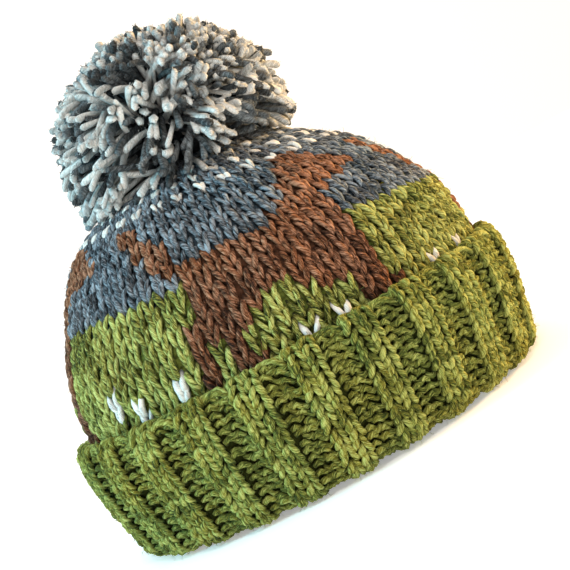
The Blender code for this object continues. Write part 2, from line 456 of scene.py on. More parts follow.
class Nodes:
    """The node tree of a material or a world, and the one way to add to it."""

    def __init__(self, owner: Material | bpy.types.World) -> None:
        """Start with the owner's tree, emptied."""
        owner.use_nodes = True
        self.tree = owner.node_tree
        self.tree.nodes.clear()

    def add(
        self, kind: str, inputs: dict | None = None, output: int | str = 0, **settings
    ) -> Socket:
        """Add a node.

        Args:
            kind: Blender's name for the kind of node.
            inputs: a socket or a value for each input, by name or number.
            output: which output is wanted, by name or number.
            **settings: the node's own attributes.

        Returns:
            The output.
        """
        node = self.tree.nodes.new(kind)
        for key, value in settings.items():
            setattr(node, key, value)
        for key, value in (inputs or {}).items():
            if isinstance(value, Socket):
                self.tree.links.new(value, node.inputs[key])
            else:
                node.inputs[key].default_value = value
        return node.outputs[output]

    def end(self, kind: str, shader: Socket) -> None:
        """Lead a finished shader to an output node of this kind."""
        self.tree.links.new(shader, self.tree.nodes.new(kind).inputs[0])

    def math(
        self, operation: str, first: Value, second: Value = 0.0, third: Value = 0.0
    ) -> Socket:
        """One step of arithmetic on sockets or numbers."""
        return self.add("ShaderNodeMath", {0: first, 1: second, 2: third}, operation=operation)

    def split(self, vector: Socket) -> tuple[Socket, ...]:
        """The three numbers of a vector."""
        return tuple(self.add("ShaderNodeSeparateXYZ", {0: vector}).node.outputs)

    def remap(
        self, value: Socket, low: float, high: float, to_low: float = 0.0, to_high: float = 1.0
    ) -> Socket:
        """Stretch a number's range to another one, and hold it there."""
        inputs = {0: value, 1: low, 2: high, 3: to_low, 4: to_high}
        return self.add("ShaderNodeMapRange", inputs)

    def mix(self, share: Value, first: Value, second: Value) -> Socket:
        """Mix two colours, each a socket or a value."""
        return self.add("ShaderNodeMix", {0: share, 6: first, 7: second}, 2, data_type="RGBA")

    def noise(
        self, size: float, detail: float, roughness: float, place: Socket, distortion: float = 0.0
    ) -> Socket:
        """Noise with lumps of about this size, at a place."""
        inputs = {"Scale": 1.0 / size, "Detail": detail, "Roughness": roughness}
        return self.add("ShaderNodeTexNoise", inputs | {"Distortion": distortion, "Vector": place})

    def bump(self, height: Socket, distance_mm: float) -> Socket:
        """The normal of a surface with this relief."""
        inputs = {"Strength": 0.9, "Distance": distance_mm * MM, "Height": height}
        return self.add("ShaderNodeBump", inputs)


@dataclass(frozen=True)
class WoolFinish:
    """Spun wool, plied and dyed: matt, with a soft sheen and a streaky face of twisted fibres.

    The light, middle and dark colours are what the eye sees on the crest of a fibre, on the
    yarn's face and between the plies, where the ply shade also darkens it as painted shade. The
    drift is the heather that wanders through the ball, and the deep colour is painted shade: the
    yarn is mixed towards it where its shade says it lies deep in the fabric.
    """

    name: str
    light: str
    middle: str
    dark: str
    drift: str
    # The painted shade of yarn that lies deep in the fabric
    deep: str
    plies: int = 3
    twist_mm: float = 11.5
    # How far one fibre's streak runs along the yarn, and how many there are round it
    streak_mm: float = 2.25
    fibres_round: float = 2.7
    # How much painted shade darkens the yarn between its plies
    ply_shade: float = 0.06
    tone_shade: float = 0.14
    streak_range: tuple[float, float] = (0.37, 0.63)
    sheen: float = 0.12
    drift_mm: float = 26.0
    relief_mm: float = 0.42

    def make(self) -> Material:
        """Build the material. It reads the strand's own yarn map, tone and shade.

        Returns:
            The material.
        """
        material = bpy.data.materials.new(self.name)
        n = Nodes(material)
        run, turn, _ = n.split(n.add("ShaderNodeUVMap", uv_map="yarn"))
        tone = n.add("ShaderNodeAttribute", output="Fac", attribute_name="tone")
        open_sky = n.add("ShaderNodeAttribute", output="Fac", attribute_name="shade")
        twisted = n.math("MULTIPLY_ADD", run, 1.0 / (self.twist_mm * MM), turn)
        angle = n.math("MULTIPLY", twisted, math.tau)
        ply_wave = n.math("COSINE", n.math("MULTIPLY", angle, float(self.plies)))
        ply = n.math("MULTIPLY_ADD", ply_wave, 0.5, 0.5)
        fibre_place = {
            0: n.math("MULTIPLY", n.math("COSINE", angle), self.fibres_round),
            1: n.math("MULTIPLY", n.math("SINE", angle), self.fibres_round),
            2: n.math("MULTIPLY", run, 1.0 / (self.streak_mm * MM)),
        }
        fibres = n.noise(1.0, 3.0, 0.72, n.add("ShaderNodeCombineXYZ", fibre_place), 0.6)
        place = n.add("ShaderNodeTexCoord", output="Object")
        drifting = n.noise(self.drift_mm * MM, 6.0, 0.72, place)
        own = n.math("SUBTRACT", fibres, self.tone_shade / 2.0)
        own = n.math("MULTIPLY_ADD", tone, self.tone_shade, own)
        # Painted shade: darker between the plies
        own = n.math("MULTIPLY_ADD", n.math("SUBTRACT", ply, 0.5), self.ply_shade, own)
        streak = n.remap(own, *self.streak_range)
        heather = n.mix(n.remap(drifting, 0.42, 0.62), linear(self.middle), linear(self.drift))
        darker = n.math("MINIMUM", n.math("MULTIPLY", streak, 2.0), 1.0)
        lighter = n.math("MAXIMUM", n.math("MULTIPLY_ADD", streak, 2.0, -1.0), 0.0)
        colour = n.mix(lighter, n.mix(darker, linear(self.dark), heather), linear(self.light))
        # Painted shade: the colour is mixed towards the deep colour where the strand lies deep in
        # the fabric
        sunk = n.remap(open_sky, 0.12, 0.88, 0.04, 1.0)
        shader = n.add(
            "ShaderNodeBsdfPrincipled",
            {
                "Base Color": n.mix(sunk, linear(self.deep), colour),
                "Normal": n.bump(n.math("MULTIPLY_ADD", ply, 0.22, fibres), self.relief_mm),
                "Roughness": 0.88,
                "IOR": 1.5,
                "Specular IOR Level": 0.22,
                "Sheen Weight": self.sheen,
                "Sheen Roughness": 0.45,
                "Sheen Tint": linear(self.light),
            },
        )
        n.end("ShaderNodeOutputMaterial", shader)
        return material


# The light, middle, dark, drift and deep colour of each yarn; the deep colour is painted shade
COLOURS = {
    Yarn.GRASS: ("CFD583", "7F8A3D", "1B260E", "8E8736", "11180A"),
    Yarn.SKY: ("A5B1BC", "4E5E6A", "10161B", "656467", "0B0F12"),
    Yarn.COAT: ("C49274", "6F4935", "1A0D07", "87502E", "0D0604"),
    Yarn.FLOWER: ("FFFEFA", "F4F3EE", "B9BCBC", "F8F3EA", "6C7072"),
    Yarn.CUFF: ("BEC470", "747E34", "2E3914", "8A8128", "27320F"),
    Yarn.POM_PALE: ("FBFAF6", "ECE9E3", "A6A8A6", "DEE4E6", "5A6063"),
    Yarn.POM_DARK: ("8A9297", "495257", "1A1E21", "54524F", "14171A"),
    Yarn.POM_GREY: ("C0C8CC", "858F96", "3C4348", "8F8F8C", "22262A"),
}
# How the spinning of some yarns differs from the rest
SPINNING = {
    Yarn.FLOWER: {"ply_shade": 0.02},
    Yarn.POM_PALE: {"plies": 2},
    Yarn.POM_DARK: {"plies": 2},
    Yarn.POM_GREY: {"plies": 2},
}
FINISHES = {
    yarn: WoolFinish(f"{yarn.value}_wool", *colours, **SPINNING.get(yarn, {}))
    for yarn, colours in COLOURS.items()
}


@dataclass(frozen=True)
class GroundFinish:
    """The body of the fabric, deep between the stitches or on its wrong side.

    The right side has the slanting legs of knit stitches, in their own shadow, and the wrong side
    has rows of interlocking arcs. Its yarn colour is darkened with painted shade: depth is how much
    of it is left on the crests of the relief, and its hollows are darker still.
    """

    name: str
    # How much of its yarn colour the painted shade leaves on the crests
    depth: float
    wrong_side: bool = False
    arch_rows: float = 0.16
    leg_slant: float = -1.6
    relief_mm: float = 1.6

    def make(self) -> Material:
        """Build the material from the colour that each patch of the ground carries.

        Returns:
            The material.
        """
        material = bpy.data.materials.new(self.name)
        n = Nodes(material)
        own = n.add("ShaderNodeAttribute", output="Color", attribute_name="yarn_colour")
        wool = n.noise(1.4 * MM, 3.0, 0.7, n.add("ShaderNodeTexCoord", output="Object"))
        column, row, _ = n.split(n.add("ShaderNodeUVMap", uv_map="fabric"))
        if self.wrong_side:
            wave = n.math("COSINE", n.math("MULTIPLY", column, math.tau))
            arch = n.math("MULTIPLY", wave, self.arch_rows)
            rising = n.math("SUBTRACT", row, arch)
            falling = n.math("ADD", n.math("SUBTRACT", row, 0.5), arch)
            waves = [n.math("COSINE", n.math("MULTIPLY", w, math.tau)) for w in (rising, falling)]
            yarns = n.math("MAXIMUM", *waves)
        else:
            slant = n.math("MULTIPLY", n.math("PINGPONG", column, 0.5), self.leg_slant)
            yarns = n.math("COSINE", n.math("MULTIPLY", n.math("ADD", row, slant), math.tau))
        relief = n.math("MULTIPLY_ADD", yarns, 0.22, wool)
        # Painted shade: darker in the hollows of the relief, and all of it darkened by depth
        fade = n.remap(relief, 0.25, 0.80, self.depth * 0.30, self.depth)
        shader = n.add(
            "ShaderNodeBsdfPrincipled",
            {
                "Base Color": n.mix(fade, (0.0, 0.0, 0.0, 1.0), own),
                "Normal": n.bump(relief, self.relief_mm),
                "Roughness": 0.95,
                "Specular IOR Level": 0.15,
            },
        )
        n.end("ShaderNodeOutputMaterial", shader)
        return material


def next_ring(bm: bmesh.types.BMesh, ring: list, points: Array) -> list:
    """Extrude a closed ring of vertices.

    Args:
        bm: the mesh under way.
        ring: the vertices of its open edge, in order.
        points: where the new vertices go.

    Returns:
        The new ring, in the same order.
    """
    edges = [bm.edges.get((ring[i], ring[i - 1])) for i in range(len(ring))]
    made = bmesh.ops.extrude_edge_only(bm, edges=edges)["geom"]
    new = {part for part in made if isinstance(part, bmesh.types.BMVert)}
    fresh = [next(e.other_vert(v) for e in v.link_edges if e.other_vert(v) in new) for v in ring]
    for vertex, point in zip(fresh, points):
        vertex.co = Vector(point)
    return fresh


def loft(bm: bmesh.types.BMesh, rings: list[Array]) -> tuple[list, list]:
    """Skin rings of points, each with as many points.

    Args:
        bm: the mesh to fill.
        rings: one array of points for each ring.

    Returns:
        The first and the last ring of vertices.
    """
    first = bmesh.ops.create_circle(bm, segments=len(rings[0]), radius=1.0)["verts"]
    for vertex, point in zip(first, rings[0]):
        vertex.co = Vector(point)
    last = first
    for points in rings[1:]:
        last = next_ring(bm, last, points)
    return first, last


def paint_faces(mesh: Mesh, colours: list[Colour]) -> None:
    """Give each face's corners its yarn's colour."""
    attribute = mesh.color_attributes.new("yarn_colour", "FLOAT_COLOR", "CORNER")
    repeats = [len(face.vertices) for face in mesh.polygons]
    values = np.repeat(np.array(colours, np.float32), repeats, axis=0)
    attribute.data.foreach_set("color", values.ravel())


@dataclass(frozen=True)
class Unevenness:
    """How far the legs of hand-knitted stitches stray from one shape, as a spread of each measure.

    The width, height and fullness are shares of the leg's own, and the slant is in columns to a
    row.
    """

    width: float
    across_columns: float
    height: float
    up_rows: float
    lift_mm: float
    fullness: float
    slant: float = 0.0
    slant_from_row: float = 0.4

    def stray(
        self, across: Array, shape: Array, count: int, chance: np.random.Generator
    ) -> tuple[Array, Array, Array, Array]:
        """Let every stitch's leg stray.

        Args:
            across: where the leg's steps lie across its column.
            shape: the leg's shape at each step, with its rows up and millimetres out.
            count: how many stitches.
            chance: where the random numbers come from.

        Returns:
            For each stitch: columns across, rows up, metres out and the yarn's fullness.
        """
        up = shape[:, 1]
        spread = chance.normal(0.0, 1.0, (7 if self.slant else 6, count, 1))
        columns = across * (1.0 + self.width * spread[0]) + self.across_columns * spread[1]
        if self.slant:
            columns += self.slant * spread[6] * (up - self.slant_from_row)
        rows = up * (1.0 + self.height * spread[2]) + self.up_rows * spread[3]
        lift = (shape[:, 2] + self.lift_mm * spread[4]) * MM
        return columns, rows, lift, 1.0 + self.fullness * spread[5]


@dataclass
class Crown:
    """The dome: picture knitting in stocking stitch, from the cuff up to the gathered top."""

    sections: tuple[Section, ...] = (
        Section(44.0, 97.6, 82.1),
        Section(50.0, 97.9, 82.4),
        Section(58.0, 97.9, 82.4),
        Section(66.0, 97.6, 82.2, 0.2),
        Section(78.0, 96.0, 80.7, 0.3),
        Section(89.0, 92.6, 77.9, 0.4),
        Section(99.0, 87.5, 73.9),
        Section(106.8, 82.8, 70.0, -0.6),
        Section(114.6, 77.7, 65.6, -1.4),
        Section(121.9, 71.6, 60.6, -2.6),
        Section(128.7, 64.2, 54.6, -4.2),
        Section(134.8, 55.6, 47.6, -4.8),
        Section(139.9, 45.6, 39.4, -4.0),
        Section(144.0, 33.2, 29.2, -3.0),
        Section(146.7, 18.4, 16.6, -2.2),
        Section(147.6, 0.4, 0.4, -2.0),
    )
    base_columns: int = 81
    rows: int = 32
    first_row: int = -1
    # Rows are taller below this one, where the crown is stretched widest
    shorter_from: int = 8
    row_mm: float = 5.1
    short_row_mm: float = 4.6
    start_mm: float = -0.9
    yarn_radius_mm: float = 1.12
    # Half width and half depth together of the crown where its yarn has its full thickness
    full_girth: float = 0.180
    tilt_mm: float = 9.0
    tilt_grows_mm: float = 42.0
    # The row above which the crown has only this many columns
    decreases: tuple[tuple[int, int], ...] = (
        (17, 72), (20, 64), (22, 54), (25, 36), (27, 20), (29, 12),
    )
    speck_phase: float = 0.45
    # One leg of a stitch: across in columns, up in rows, out in millimetres, and its fullness
    leg: Table = (
        (0.08, -0.48, -1.4, 0.68),
        (0.11, -0.20, 0.2, 0.94),
        (0.165, 0.12, 0.90, 1.08),
        (0.245, 0.46, 0.95, 1.12),
        (0.320, 0.80, 0.45, 1.04),
        (0.370, 1.10, -0.5, 0.88),
        (0.360, 1.34, -1.9, 0.62),
    )
    uneven: Unevenness = Unevenness(0.16, 0.045, 0.08, 0.11, 0.36, 0.12, slant=0.06)
    # The walking animal: for each row from the lowest, the first and last columns of each run
    figure: tuple[tuple[tuple[int, int], ...], ...] = (
        ((-5, -5), (-3, -2), (5, 7)),
        ((-5, -5), (-3, -3), (5, 6)),
        ((-5, -5), (-3, -3), (5, 6)),
        ((-5, -2), (3, 6)),
        ((-5, -1), (2, 6)),
        ((-4, 6),),
        ((-4, 6),),
        ((-4, 6),),
        ((-4, 6),),
        ((-5, 6),),
        ((-6, -5), (3, 6)),
        ((-6, -5), (4, 7)),
        ((-7, -5), (5, 9)),
        ((-7, -6), (5, 11)),
        ((-8, -7), (6, 10)),
        ((-8, -7), (6, 9)),
        ((7, 8),),
    )
    # The column that each animal is counted from; the rounds start behind, in the plain band
    figures_at: tuple[int, ...] = (-23, 0, 22)
    grass_rows: int = 8
    # Small white stitches in the grass: columns and rows
    flowers: tuple[tuple[int, int], ...] = (
        (-12, 2), (-10, 1), (-7, 1), (-12, 1), (-10, 0), (-7, 0), (1, 0), (3, 0), (10, 0), (13, 0),
        (-22, 0), (-20, 0), (23, 0), (25, 0), (-37, 1), (-35, 0), (36, 1), (38, 0), (40, 1),
    )
    speck_rows: tuple[int, ...] = (17, 19, 21)
    # How full the white stitches are in the grass and in the sky
    white_fullness: tuple[float, float] = (1.12, 0.98)
    hairs_per_stitch: float = 1.6
    # How far the ground's two faces lie behind the stitches
    ground_mm: tuple[float, float] = (-1.5, -3.1)
    hem_heights: tuple[float, ...] = (9.5, 14.0, 22.0, 32.0)
    # How far out a leg lies where its painted shade is darkest, and over how much it brightens
    shade_mm: tuple[float, float] = (-1.6, 2.2)
    flatness: float = 0.92
    hem_shrink: float = 0.055
    hem_shrinks_over_mm: float = 37.0

    def __post_init__(self) -> None:
        """Lay out the surface and the stitches."""
        self.skin = OvalSkin(self.sections, start=2, widest=1)
        self.chance = np.random.default_rng(SEED)
        share, row, width, yarns = [], [], [], []
        for level in range(self.first_row, self.rows):
            columns = self.columns_at(level)
            phase = 0.5 if columns == self.base_columns else 0.5 + self.speck_phase
            for column in range(columns):
                share.append((column + phase) / columns)
                row.append(level)
                width.append(1.0 / columns)
                yarns.append(self.yarn_at(share[-1], level).value)
        self.share = np.array(share)
        self.row = np.array(row, float)
        self.width = np.array(width)
        self.yarns = np.array(yarns)
        self.tone = self.chance.random(len(share))

    def columns_at(self, level: int) -> int:
        """How many columns the crown has left in this row."""
        left = (count for start, count in reversed(self.decreases) if level >= start)
        return next(left, self.base_columns)

    def yarn_at(self, share: float, level: int) -> Yarn:
        """Which yarn a stitch is knitted in.

        Args:
            share: how far round it stands.
            level: its row, counted from the cuff's edge.

        Returns:
            The yarn.
        """
        half = self.base_columns // 2
        column = (int(math.floor(share * self.base_columns)) + half) % self.base_columns - half
        if level in self.speck_rows:
            count = self.columns_at(level)
            even = round(share * count - 0.5 - self.speck_phase) % 2 == 0
            return Yarn.FLOWER if even else Yarn.SKY
        if (column, level) in self.flowers:
            return Yarn.FLOWER
        if 0 <= level < len(self.figure):
            for start in self.figures_at:
                if any(a <= column - start <= b for a, b in self.figure[level]):
                    return Yarn.COAT
        return self.plain_yarn(level)

    def plain_yarn(self, level: int) -> Yarn:
        """The yarn that the picture in this row is worked on."""
        return Yarn.GRASS if level < self.grass_rows else Yarn.SKY

    def height_of(self, row: Array) -> Array:
        """How far up the surface a row starts, in metres."""
        tall = np.minimum(row, self.shorter_from)
        return (self.start_mm + tall * self.row_mm + (row - tall) * self.short_row_mm) * MM

    def place(self, share: Array, row: Array, lift: Array) -> tuple[Array, Array]:
        """Points over the crown in its own knitted terms: share round, rows up, metres out."""
        along = self.height_of(row)
        grown = np.clip(along / (self.tilt_grows_mm * MM), 0.0, 1.0)
        full = self.height_of(np.asarray(float(self.rows)))
        fading = np.clip((full - along) / (full * 0.35), 0.0, 1.0)
        smooth = grown * grown * (3.0 - 2.0 * grown) * fading
        tilt = np.sin(self.skin.angle(share)) * self.tilt_mm * MM * smooth
        return self.skin.place(share, along - tilt, lift)

    def lay_legs(self, yarn: Yarn, mine: Array, hand: float, shape: Array) -> Strands:
        """Lay one leg of each stitch of a yarn.

        Args:
            yarn: the yarn.
            mine: the numbers of its stitches.
            hand: -1 for the left leg and 1 for the right one.
            shape: a leg's shape at each step.

        Returns:
            The legs.
        """
        row, width, tone = self.row[mine, None], self.width[mine, None], self.tone[mine]
        across, upward, lift, fullness = self.uneven.stray(
            hand * shape[:, 0], shape, len(mine), self.chance
        )
        points, outward = self.place(self.share[mine, None] + across * width, row + upward, lift)
        narrow = np.clip(self.base_columns * width, 0.6, 1.4)
        girth, _ = self.skin.table.at(self.height_of(self.row[mine]))
        room = (girth[:, 1] + girth[:, 2])[:, None] / self.full_girth * narrow
        size = np.sqrt(np.clip(room, 0.3, 1.2)) * fullness
        if yarn is Yarn.FLOWER:
            size *= np.where(row < self.grass_rows, *self.white_fullness)
        if yarn is Yarn.COAT:
            # The animal is darker at the feet and warmer at the head
            tone = tone * 0.7 + 0.6 * np.clip(self.row[mine] / 12.0, 0.0, 1.0) - 0.26
        radius = self.yarn_radius_mm * MM * size * shape[:, 3]
        dark, range_mm = self.shade_mm
        shade = np.clip((lift / MM - dark) / range_mm, 0.0, 1.0)
        return Strands(points, outward, radius, radius * self.flatness, tone, shade)

    def make_stitches(
        self, maker: StrandMaker, fuzz: Fuzz, materials: dict[Yarn, Material]
    ) -> None:
        """Lay both legs of every stitch, one piece for each yarn.

        Args:
            maker: the strand that is bent to shape.
            fuzz: what grows the loose fibres.
            materials: the finish of each yarn.
        """
        shape = shape_of(self.leg, maker.steps)
        for yarn in (Yarn.GRASS, Yarn.SKY, Yarn.COAT, Yarn.FLOWER):
            mine = np.nonzero(self.yarns == yarn.value)[0]
            laid = Strands.joined([self.lay_legs(yarn, mine, hand, shape) for hand in (-1.0, 1.0)])
            mesh = maker.make(f"crown_{yarn.value}_stitches", laid)
            add_piece(mesh, materials[yarn], "crown")
            hairs = int(self.hairs_per_stitch * len(mine))
            mesh = fuzz.grow(f"crown_{yarn.value}_fuzz", laid, hairs)
            add_piece(mesh, materials[yarn], "crown")
        log.info("crown: %d stitches", len(self.share))

    def top_at(self, points: Array) -> Array:
        """The height of the crown's upper surface at each point's place, in metres."""
        rows = self.skin.table.rows[2:]
        middle = rows[len(rows) // 2 + 2]
        far = np.hypot(points[..., 0] - middle[3], points[..., 1] * middle[1] / middle[2])
        return np.interp(far, rows[::-1, 1], rows[::-1, 0])

    def make_ground(self, outside: Material, inside: Material) -> None:
        """Model the fabric's body behind the stitches as one closed shell.

        Args:
            outside: the finish of its right side.
            inside: the finish of its wrong side, which faces the head.
        """
        columns = self.base_columns * 2
        share = np.arange(columns) / columns
        levels = np.arange(self.first_row, self.rows + 0.01, 1.0)
        faces = []
        for lift in self.ground_mm:
            hem = [self.hem_ring(share, height, lift) for height in self.hem_heights]
            lifts = np.full(columns, lift * MM)
            wall = [self.place(share, np.full(columns, level), lifts)[0] for level in levels]
            faces.append(hem + wall)
        outer, inner = faces
        bm = bmesh.new()
        first, last = loft(bm, inner[::-1] + outer)
        bmesh.ops.contextual_create(bm, geom=first)
        bmesh.ops.contextual_create(bm, geom=last)
        bmesh.ops.recalc_face_normals(bm, faces=bm.faces)
        mesh = smooth_mesh(bm, "crown_ground", [outside, inside])
        hollow = Vector((0.0, 0.0, 50.0 * MM))
        colours = []
        for face in mesh.polygons:
            face.material_index = 1 if face.normal.dot(face.center - hollow) < 0 else 0
            colours.append(linear(FINISHES[self.yarn_over(np.array(face.center))].middle))
        paint_faces(mesh, colours)
        self.map_fabric(mesh)
        add_piece(mesh, outside, "crown")

    def map_fabric(self, mesh: Mesh) -> None:
        """Give the ground a map of its fabric: columns round it and rows up it."""
        spots = np.array([vertex.co for vertex in mesh.vertices])
        height = spots[:, 2]
        column = self.skin.share_at(spots) * self.base_columns
        below = np.minimum(height - self.sections[0].height * MM, 0.0)
        row = (self.skin.along_at(height) + below) / (self.short_row_mm * MM)
        corners = np.array([loop.vertex_index for loop in mesh.loops])
        across, up = column[corners], row[corners]
        half = self.base_columns / 2
        for face in mesh.polygons:
            own = across[face.loop_start : face.loop_start + face.loop_total]
            if np.ptp(own) > half:
                own[own < half] += self.base_columns
        layer = mesh.uv_layers.new(name="fabric")
        layer.data.foreach_set("uv", np.stack((across, up), -1).astype(np.float32).ravel())

    def hem_ring(self, share: Array, height: float, lift: float) -> Array:
        """A ring of the crown's lower end, which goes down behind the cuff."""
        base = self.sections[0]
        drop = (base.height - height) / self.hem_shrinks_over_mm
        scale = MM * (1.0 - self.hem_shrink * drop * drop)
        half_width, half_depth = base.half_width + lift, base.half_depth + lift
        angle = self.skin.angle(share)
        return level_ring(angle, half_width * scale, half_depth * scale, height * MM)

    def yarn_over(self, point: Array) -> Yarn:
        """The yarn that a point of the ground is made of, with no white in it."""
        if point[2] < self.sections[0].height * MM:
            return Yarn.CUFF
        along = float(self.skin.along_at(point[2]))
        level = 0
        while float(self.height_of(np.asarray(level + 1.0))) < along:
            level += 1
        yarn = self.yarn_at(float(self.skin.share_at(point)), level)
        return self.plain_yarn(level) if yarn is Yarn.FLOWER else yarn


@dataclass
class Cuff:
    """The turned-up band: two knit and two purl columns to a rib, cast-on edge at the top."""

    oval_difference_mm: float = 15.5
    # Heights and half widths of the surface that the raised columns lie in, from the fold's
    # inside up and over the edge
    profile: Table = (
        (7.6, 90.8),
        (4.3, 91.8),
        (3.1, 94.4),
        (3.3, 98.1),
        (5.6, 100.6),
        (12.0, 102.2),
        (27.0, 105.5),
        (40.0, 107.3),
        (50.0, 107.3),
        (55.0, 106.1),
        (56.9, 103.9),
        (56.0, 101.9),
        (50.0, 101.3),
    )
    # Heights and half widths of the ground's back, from the edge down
    back: Table = ((35.0, 99.2), (20.0, 97.0), (10.0, 93.6))
    ribs: int = 25
    rib_phase: float = 0.12
    knit_centres: tuple[float, ...] = (-0.128, 0.128)
    purl_centres: tuple[float, ...] = (0.350, 0.570)
    # Places across a rib of the ground, and how far each is sunk
    ground_spots: Table = (
        (-0.25, 0.30), (-0.10, 0.10), (0.10, 0.10), (0.25, 0.30), (0.38, 0.95), (0.62, 0.95),
    )
    ground_rings: int = 22
    ground_mm: float = 1.3
    knit_width: float = 0.256
    purl_width: float = 0.230
    row_mm: float = 3.62
    rows: int = 16
    rows_under: int = 2
    rows_over: int = 1
    recess_mm: float = 2.8
    purl_slant: float = 0.42
    purl_slant_spread: float = 0.22
    # Between two stitches of a purl column the bump sits half a column on and curves the other way
    between_across: float = 0.5
    between_curve: float = -0.6
    between_depth_mm: float = 0.25
    knit_radius_mm: float = 1.30
    purl_radius_mm: float = 1.10
    edge_radius_mm: float = 1.32
    hairs: int = 2600
    # One leg of an upside-down stitch: across in columns, up in rows, out in millimetres, fullness
    leg: Table = (
        (0.43, -0.42, -1.8, 0.62),
        (0.46, -0.18, -0.3, 0.90),
        (0.400, 0.10, 0.60, 1.06),
        (0.290, 0.40, 0.90, 1.12),
        (0.180, 0.68, 0.60, 1.05),
        (0.090, 0.94, -0.3, 0.86),
        (0.050, 1.16, -1.7, 0.62),
    )
    uneven: Unevenness = Unevenness(0.10, 0.035, 0.05, 0.07, 0.20, 0.08)
    # For the left and the right leg: its side, its spread round the pivot, and its fullness
    legs: Table = ((-1.0, 1.0, 1.06), (1.0, 0.55, 0.90))
    leg_pivot: float = 0.26
    # The bump of a purl stitch: across in columns, up in rows, out in millimetres, fullness
    bump: Table = (
        (-0.37, -0.34, -1.6, 0.64),
        (-0.30, 0.06, 0.0, 0.98),
        (-0.10, 0.36, 0.8, 1.16),
        (0.12, 0.36, 0.8, 1.16),
        (0.30, 0.04, 0.0, 0.98),
        (0.38, -0.36, -1.6, 0.64),
    )
    # The cast-on loop and arch: across in quarter ribs, up and out in millimetres, fullness
    edge_loop: Table = (
        (-0.80, -3.8, -1.6, 0.7),
        (-0.50, -1.6, 0.5, 1.0),
        (0.0, 0.3, 1.1, 1.15),
        (0.50, 0.9, 0.6, 1.05),
        (0.85, 3.2, -0.8, 0.7),
    )
    edge_arch: Table = (
        (-1.15, -2.2, -1.2, 0.70),
        (-0.70, 0.4, 0.5, 0.92),
        (0.0, 0.6, 0.6, 1.0),
        (0.65, -1.3, 0.1, 0.92),
        (1.15, -5.4, -1.8, 0.70),
    )

    def __post_init__(self) -> None:
        """Lay out the surface."""
        difference = self.oval_difference_mm
        sections = tuple(Section(h, w, w - difference) for h, w in self.profile)
        self.skin = OvalSkin(sections, start=3, widest=7)
        self.chance = np.random.default_rng(SEED + 1)

    def columns(self, centres: tuple[float, ...]) -> Array:
        """The share round of each column that stands at these places in every rib."""
        rib = np.arange(self.ribs)[:, None] + self.rib_phase + np.array(centres)[None, :]
        return (rib / self.ribs).ravel()

    def grid(self, centres: tuple[float, ...], to_a_row: int) -> tuple[Array, Array]:
        """The column and the row of every stitch of these columns.

        Args:
            centres: where the columns stand in each rib.
            to_a_row: how many strands a row has in each column.

        Returns:
            The shares round and the rows, each with one column.
        """
        levels = np.arange(-self.rows_under * to_a_row, (self.rows + self.rows_over) * to_a_row)
        column, level = np.meshgrid(self.columns(centres), levels / to_a_row)
        return column.ravel()[:, None], level.ravel()[:, None]

    def recess(self, along: Array) -> Array:
        """How far the purl columns lie behind the knit ones, in millimetres."""
        from_fold = np.clip((along / MM + 5.0) / 16.0, 0.0, 1.0)
        from_edge = np.clip((self.rows * self.row_mm - along / MM + 1.0) / 7.0, 0.0, 1.0)
        return self.recess_mm * (0.25 + 0.75 * from_fold) * (0.45 + 0.55 * from_edge)

    def make_stitches(self, maker: StrandMaker, fuzz: Fuzz, material: Material) -> None:
        """Lay both legs of every knit stitch of the raised columns."""
        shape = shape_of(self.leg, maker.steps)
        column, level = self.grid(self.knit_centres, 1)
        tone = self.chance.random(len(column))
        legs = []
        for hand, spread, full in self.legs:
            steep = spread * (shape[:, 0] - self.leg_pivot) + self.leg_pivot
            across, upward, lift, fullness = self.uneven.stray(
                hand * steep, shape, len(column), self.chance
            )
            share = column + across * self.knit_width / self.ribs
            along = (level + upward) * self.row_mm * MM
            points, outward = self.skin.place(share, along, lift)
            size = self.knit_radius_mm * full * MM * shape[:, 3] * fullness
            shade = np.clip((lift / MM + 1.5) / 2.1, 0.0, 1.0)
            legs.append(Strands(points, outward, size, size * 0.92, tone, shade))
        laid = Strands.joined(legs)
        add_piece(maker.make("cuff_knit_columns", laid), material, "cuff")
        add_piece(fuzz.grow("cuff_fuzz", laid, self.hairs), material, "cuff")

    def make_purl(self, maker: StrandMaker, material: Material) -> None:
        """Lay the bumps of the sunk columns: one on each stitch and one between it and the next."""
        shape = shape_of(self.bump, maker.steps)
        column, level = self.grid(self.purl_centres, 2)
        odd = np.modf(np.abs(level))[0] > 0.25
        spread = self.chance.normal(0.0, 1.0, (5, len(column), 1))
        across = shape[:, 0] * (1.0 + 0.13 * spread[0]) + np.where(odd, self.between_across, 0.0)
        across += 0.07 * spread[1]
        slant = self.chance.normal(0.0, 1.0, (len(column), 1)) * self.purl_slant_spread
        slant += self.purl_slant
        bent = np.where(odd, self.between_curve, 1.0)
        curve = bent * (shape[:, 1] - 0.10) - slant * shape[:, 0]
        along = (level + (curve + 0.12 * spread[2])) * self.row_mm * MM
        # The outer ends of the bumps climb to the raised columns beside them
        place = np.modf(column * self.ribs - self.rib_phase)[0]
        inside = np.abs(place + across * self.purl_width - 0.5)
        climb = 1.0 - 0.55 * np.clip((inside - 0.08) / 0.16, 0.0, 1.0)
        depth = self.recess(along) * climb + np.where(odd, self.between_depth_mm, 0.0)
        lift = (shape[:, 2] - depth + 0.22 * spread[3]) * MM
        share = column + across * self.purl_width / self.ribs
        points, outward = self.skin.place(share, along, lift)
        size = self.purl_radius_mm * MM * shape[:, 3] * (1.0 + 0.10 * spread[4])
        size = size * np.where(odd, 0.94, 1.0)
        tone = self.chance.random(len(column)) * 0.7
        shade = np.clip((lift / MM + depth + 1.3) / 1.9, 0.0, 1.0) * np.where(odd, 0.75, 0.95)
        laid = Strands(points, outward, size, size, tone, shade)
        add_piece(maker.make("cuff_purl_columns", laid), material, "cuff")

    def make_edge(self, maker: StrandMaker, material: Material) -> None:
        """Lay the cast-on edge: a slanting loop on each raised column, and arches between them."""
